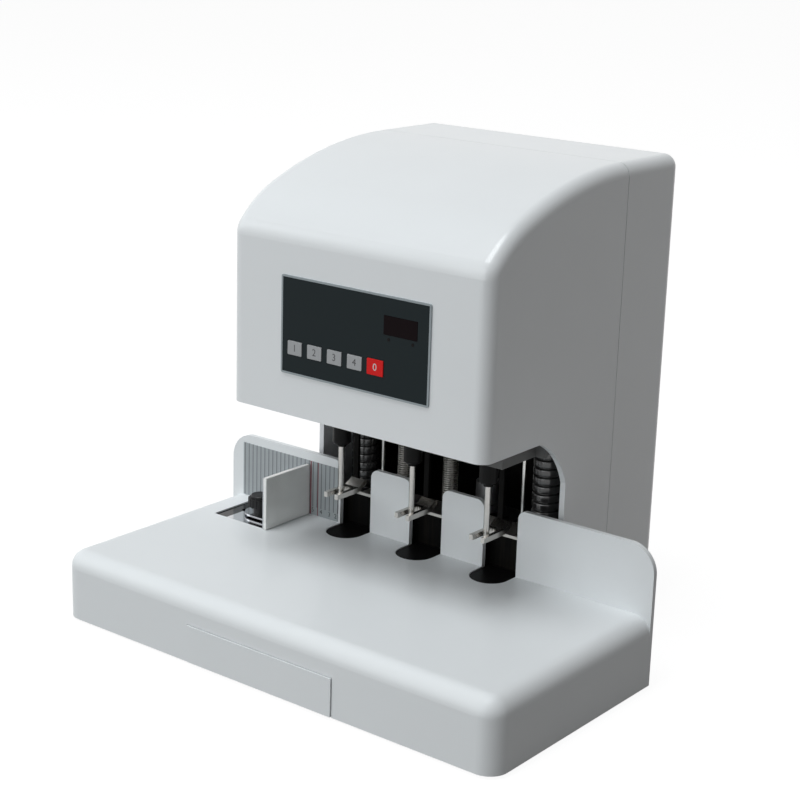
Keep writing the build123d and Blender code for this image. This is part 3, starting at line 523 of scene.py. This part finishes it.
def revolve(profile, centre, sides):
    # a closed profile of (radius, height) turned round an upright axis
    verts = []
    for radius, height in profile:
        for k in range(sides):
            angle = 2 * math.pi * k / sides
            verts.append((centre[0] + radius * math.cos(angle), centre[1] + radius * math.sin(angle), height))
    return verts, closedRows(len(profile), sides)


def join(parts):
    verts, faces = [], []
    for partVerts, partFaces in parts:
        base = len(verts)
        verts += partVerts
        faces += [tuple(base + i for i in face) for face in partFaces]
    return verts, faces


# bellows over the guide posts: square ribs with narrow creases
bellowsSet = {"ribs": 24, "outer": 0.0125, "crease": 0.0101, "bore": 0.0085, "sides": 72, "insideRows": 12,
              # one rib, as its share of the pitch and of the depth of a crease
              "rib": [(0.0, 0.0), (0.04, 0.45), (0.09, 0.86), (0.16, 0.97), (0.30, 1.0), (0.50, 1.0), (0.70, 1.0),
                      (0.82, 0.95), (0.90, 0.78), (0.95, 0.35)]}


def bellowsProfile(b, low, high):
    pitch = (high.z - low.z) / b["ribs"]
    outside = [(b["crease"] + (b["outer"] - b["crease"]) * bulge, low.z + (rib + share) * pitch)
               for rib in range(b["ribs"]) for share, bulge in b["rib"]]
    outside.append((b["crease"], high.z))
    rows = b["insideRows"]
    inside = [(b["bore"], high.z - (high.z - low.z) * i / rows) for i in range(rows + 1)]
    return outside + inside


def makeBellows(b):
    low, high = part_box("bellows")
    for side, sign in (("Left", -1), ("Right", 1)):
        post = (sign * (high.x - b["outer"]), (low.y + high.y) / 2)
        shape = revolve(bellowsProfile(b, low, high), post, b["sides"])
        sleeve = addPiece("bellows" + side, meshOf("bellows" + side, *shape), "bellowsRubber", "frame")
        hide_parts("bellows")
        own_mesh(sleeve)


makeBellows(bellowsSet)
print("bellows made")

# pull springs: wound wire with a hook at each end
springSet = {"turns": 47, "radius": 0.00635, "wire": 0.00065, "steps": 26, "sides": 8, "inset": 0.007,
             "hook": 0.0034, "hookSteps": 12, "hookReach": 0.98}


def springPoints(s, x, y, low, high):
    bottom, top = low + s["wire"] + s["hook"], high - s["wire"] - s["hook"]
    points = []
    total = s["turns"] * s["steps"]
    for i in range(total + 1):
        angle = 2 * math.pi * i / s["steps"]
        points.append(Vector((x + s["radius"] * math.cos(angle), y + s["radius"] * math.sin(angle),
                              bottom + (top - bottom) * i / total)))
    for end, way in ((0, -1), (-1, 1)):  # each hook bends in over the axis
        start = points[end]
        hook = []
        for i in range(1, s["hookSteps"] + 1):
            angle = math.pi * i / s["hookSteps"]
            hook.append(Vector((x + s["radius"] * math.cos(angle * s["hookReach"]), start.y,
                                start.z + way * s["hook"] * math.sin(angle))))
        points = hook[::-1] + points if end == 0 else points + hook
    return points


def makeSprings(s):
    low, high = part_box("presser_springs")
    y = (low.y + high.y) / 2
    wound = [tube(springPoints(s, x, y, low.z, high.z), s["wire"], s["sides"])
             for x in (low.x + s["inset"], high.x - s["inset"])]
    springs = addPiece("presserSprings", meshOf("presserSprings", *join(wound)), "springWire", "frame")
    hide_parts("presser_springs")
    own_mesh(springs)


makeSprings(springSet)
print("springs wound")

# drive belt round the pulleys, ribbed along its inside
beltSet = {"thick": 0.0014, "lift": 0.0001, "groove": 0.0004, "bevel": 0.0002, "ribs": 5, "steps": 24,
           # one rib, by its share of the pitch
           "rib": [(0.08, "groove"), (0.25, "ridge"), (0.75, "ridge"), (0.92, "groove")],
           # pulleys that it goes round: half their spacing, and their radii
           "spindleX": 0.08, "spindlePulley": 0.020, "spindleFlange": 0.0215, "motorPulley": 0.012}


def beltLoop(s, grow):
    # outline of the belt seen from above, anticlockwise
    low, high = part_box("motor_pulley")
    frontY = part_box("spindle_left")[0].y + s["spindleFlange"]
    wheels = [(s["spindleX"], frontY, s["spindlePulley"] + grow),
              (0.0, (low.y + high.y) / 2, s["motorPulley"] + grow),
              (-s["spindleX"], frontY, s["spindlePulley"] + grow)]
    points = []
    for i, (x, y, radius) in enumerate(wheels):
        before, after = wheels[i - 1], wheels[(i + 1) % len(wheels)]
        turns = []
        for a, b in ((before, wheels[i]), (wheels[i], after)):
            run = Vector((b[0] - a[0], b[1] - a[1]))
            lean = math.acos((a[2] - b[2]) / run.length)
            turns.append(math.atan2(run.y, run.x) - lean)
        while turns[1] < turns[0]:
            turns[1] += 2 * math.pi
        for k in range(s["steps"] + 1):
            angle = turns[0] + (turns[1] - turns[0]) * k / s["steps"]
            points.append((x + radius * math.cos(angle), y + radius * math.sin(angle)))
    return points


def makeBelt(s):
    low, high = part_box("drive_belt")
    growth = {"ridge": 0.0, "groove": s["groove"], "outer": s["thick"]}
    loops = {level: beltLoop(s, s["lift"] + grow) for level, grow in growth.items()}
    rows = [(level, low.z + (high.z - low.z) * (step + share) / s["ribs"])
            for step in range(s["ribs"]) for share, level in s["rib"]]  # up the inside
    rows += [("outer", high.z - s["bevel"]), ("outer", low.z + s["bevel"])]
    verts = [(x, y, z) for level, z in rows for x, y in loops[level]]
    shape = meshOf("ribbedBelt", verts, closedRows(len(rows), len(loops["outer"])), smooth=False)
    belt = addPiece("ribbedBelt", shape, "blackRubber", "carriage")
    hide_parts("drive_belt")


makeBelt(beltSet)
print("belt made")

# numbers on the keys and the scale: thin raised print, each of the scale's at its own x
numberSet = {"depth": 0.00004, "lift": 0.00003, "smooth": 6, "keySize": 0.0085, "scaleSize": 0.0060,
             "scaleRise": 0.0046, "scale": {"5": -0.130, "4": -0.120, "3": -0.110, "2": -0.1025},
             "keys": {"key_1": "1", "key_2": "2", "key_3": "3", "key_4": "4", "zero_key": "0"}}


def numberMesh(name, words, size, centre):
    # upright, facing the operator
    curve = bpy.data.curves.new(name, "FONT")
    curve.body = words
    curve.size = size
    curve.align_x = "CENTER"
    curve.align_y = "CENTER"
    curve.extrude = numberSet["depth"]
    curve.resolution_u = numberSet["smooth"]
    letters = bpy.data.objects.new(name, curve)
    letters.matrix_world = Matrix.Translation(centre) @ Matrix.Rotation(math.pi / 2, 4, "X")
    bpy.context.scene.collection.objects.link(letters)
    bpy.context.view_layer.update()
    mesh = bpy.data.meshes.new_from_object(letters.evaluated_get(bpy.context.evaluated_depsgraph_get()))
    mesh.transform(letters.matrix_world)
    bpy.data.objects.remove(letters)
    return mesh


def addNumbers(s):
    for key, words in s["keys"].items():
        a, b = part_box(key)
        centre = ((a.x + b.x) / 2, a.y - s["lift"], (a.z + b.z) / 2)
        ink, slotName = ("whiteInk", "white_plastic") if key == "zero_key" else ("keyInk", "black_plastic")
        mesh = numberMesh(key + "Number", words, s["keySize"], centre)
        addPiece(key + "Number", mesh, ink, key + "_cap")
    a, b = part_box("scale_plate")
    for words, x in s["scale"].items():
        mesh = numberMesh("scaleNumber" + words, words, s["scaleSize"], (x, a.y - s["lift"], a.z + s["scaleRise"]))
        addPiece("scaleNumber" + words, mesh, "darkInk", "frame")


addNumbers(numberSet)
print("numbers printed")

# floor, lamps and background
stageSet = {"worldLevel": 0.125, "worldTint": (1.0, 0.985, 0.97), "floorLift": 0.80, "floorGlow": 1.16,
            "floorPale": (0.85, 0.85, 0.85), "floorShade": (0.22, 0.216, 0.212), "floorRough": 0.9,
            "floorReach": 30}
lampTint = (0.955, 0.985, 1.0)
lampAim = Vector((0, 0, 0.2))
lamps = {"topLamp": {"from": (-0.5, -1.25, 4.95), "power": 142.0, "size": 2.6},
         "leftLamp": {"from": (-2.6, -1.4, 1.5), "power": 12.0, "size": 1.6},
         "frontLamp": {"from": (-0.5, -2.5, 0.95), "power": 23.5, "size": 2.2}}


def raysSeen(wire):
    # camera rays alone, then camera rays with those off gloss and through glass
    camera, glossy, glass = (wire.node("ShaderNodeLightPath", out=name)
                             for name in ("Is Camera Ray", "Is Glossy Ray", "Is Transmission Ray"))
    return camera, camera.most(glossy).most(glass)


def makeWorld(s):
    world = bpy.data.worlds.new("studio")
    bpy.context.scene.world = world
    world.use_nodes = True
    tree = world.node_tree
    tree.nodes.clear()
    wire = Wire(tree)
    camera, seen = raysSeen(wire)
    dim = wire.node("ShaderNodeBackground", None, {"Color": (*s["worldTint"], 1), "Strength": s["worldLevel"]})
    bright = wire.node("ShaderNodeBackground", None, {"Color": (1, 1, 1, 1), "Strength": 1.0})
    mixed = wire.node("ShaderNodeMixShader", None, {0: seen, 1: dim, 2: bright})
    tree.links.new(mixed.socket, tree.nodes.new("ShaderNodeOutputWorld").inputs["Surface"])


def makeFloor(s):
    r = s["floorReach"]
    mesh = bpy.data.meshes.new("floor")
    mesh.from_pydata([(-r, -r, 0), (r, -r, 0), (r, r, 0), (-r, r, 0)], [], [(0, 1, 2, 3)])
    floor = bpy.data.objects.new("floor", mesh)
    bpy.context.scene.collection.objects.link(floor)
    material = bpy.data.materials.new("paleFloor")
    material.use_nodes = True
    tree = material.node_tree
    shader = tree.nodes["Principled BSDF"]
    shader.inputs["Roughness"].default_value = s["floorRough"]
    wire = Wire(tree)
    camera, seen = raysSeen(wire)
    tree.links.new(camera.blend(s["floorShade"], s["floorPale"]).socket, shader.inputs["Base Color"])
    glow = wire.node("ShaderNodeEmission", None, {"Color": (1, 1, 1, 1), "Strength": s["floorGlow"]})
    lifted = wire.node("ShaderNodeMixShader", None,
                       {0: seen * s["floorLift"], 1: Wire(tree, shader.outputs[0]), 2: glow})
    tree.links.new(lifted.socket, tree.nodes["Material Output"].inputs["Surface"])
    mesh.materials.append(material)


def makeLamp(name, s):
    data = bpy.data.lights.new(name, "AREA")
    data.energy = s["power"]
    data.color = lampTint
    data.size = s["size"]
    lamp = bpy.data.objects.new(name, data)
    lamp.location = s["from"]
    lamp.rotation_euler = (lampAim - Vector(s["from"])).to_track_quat("-Z", "Y").to_euler()
    bpy.context.scene.collection.objects.link(lamp)


makeWorld(stageSet)
makeFloor(stageSet)
for name, settings in lamps.items():
    makeLamp(name, settings)
print("stage lit")

bpy.context.view_layer.update()
